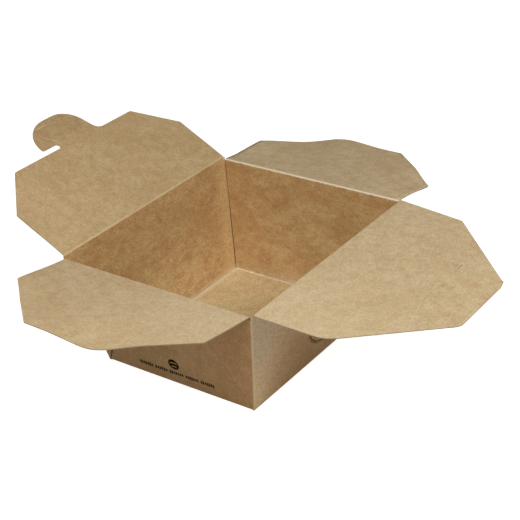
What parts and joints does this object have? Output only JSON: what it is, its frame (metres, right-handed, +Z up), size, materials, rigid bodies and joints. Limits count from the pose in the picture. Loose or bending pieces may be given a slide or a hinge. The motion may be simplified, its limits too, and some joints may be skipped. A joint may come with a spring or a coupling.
{
  "type": "takeaway box",
  "caption": "Folded kraft paperboard takeaway box with tapering walls, gusseted corners and hinged lid flaps that close over each other; a hooked tab tucks into a slit.",
  "frame": {"origin": "middle of the underside of the tub's floor, which stands on the table", "axes": "+Z up out of the open top, +X along the long walls, +Y towards the wall that carries the tab flap"},
  "size_m": [0.2569, 0.2546, 0.0966],
  "materials": {
    "tub_board": "matte",
    "flap_board": "matte"
  },
  "bodies": {
    "tub": {"tub": "tub_board"},
    "left_end_flap": {"left_end_flap": "flap_board"},
    "right_end_flap": {"right_end_flap": "flap_board"},
    "slit_flap": {"slit_flap": "flap_board"},
    "tab_flap": {"tab_flap": "flap_board"}
  },
  "joints": [
    {"name": "left_end_crease", "type": "hinge", "parent": "tub", "child": "left_end_flap", "pos_m": [-0.06538, 0, 0.06037], "axis": [0, 1, 0], "range_deg": [-75.5, 176]},
    {"name": "right_end_crease", "type": "hinge", "parent": "tub", "child": "right_end_flap", "pos_m": [0.06538, 0, 0.06037], "axis": [0, -1, 0], "range_deg": [-60.5, 191]},
    {"name": "slit_flap_crease", "type": "hinge", "parent": "tub", "child": "slit_flap", "pos_m": [0, -0.056, 0.06107], "axis": [-1, 0, 0], "range_deg": [-44.5, 183.5]},
    {"name": "tab_flap_crease", "type": "hinge", "parent": "tub", "child": "tab_flap", "pos_m": [0, 0.05613, 0.06177], "axis": [1, 0, 0], "range_deg": [-84.5, 151.5]}
  ]
}
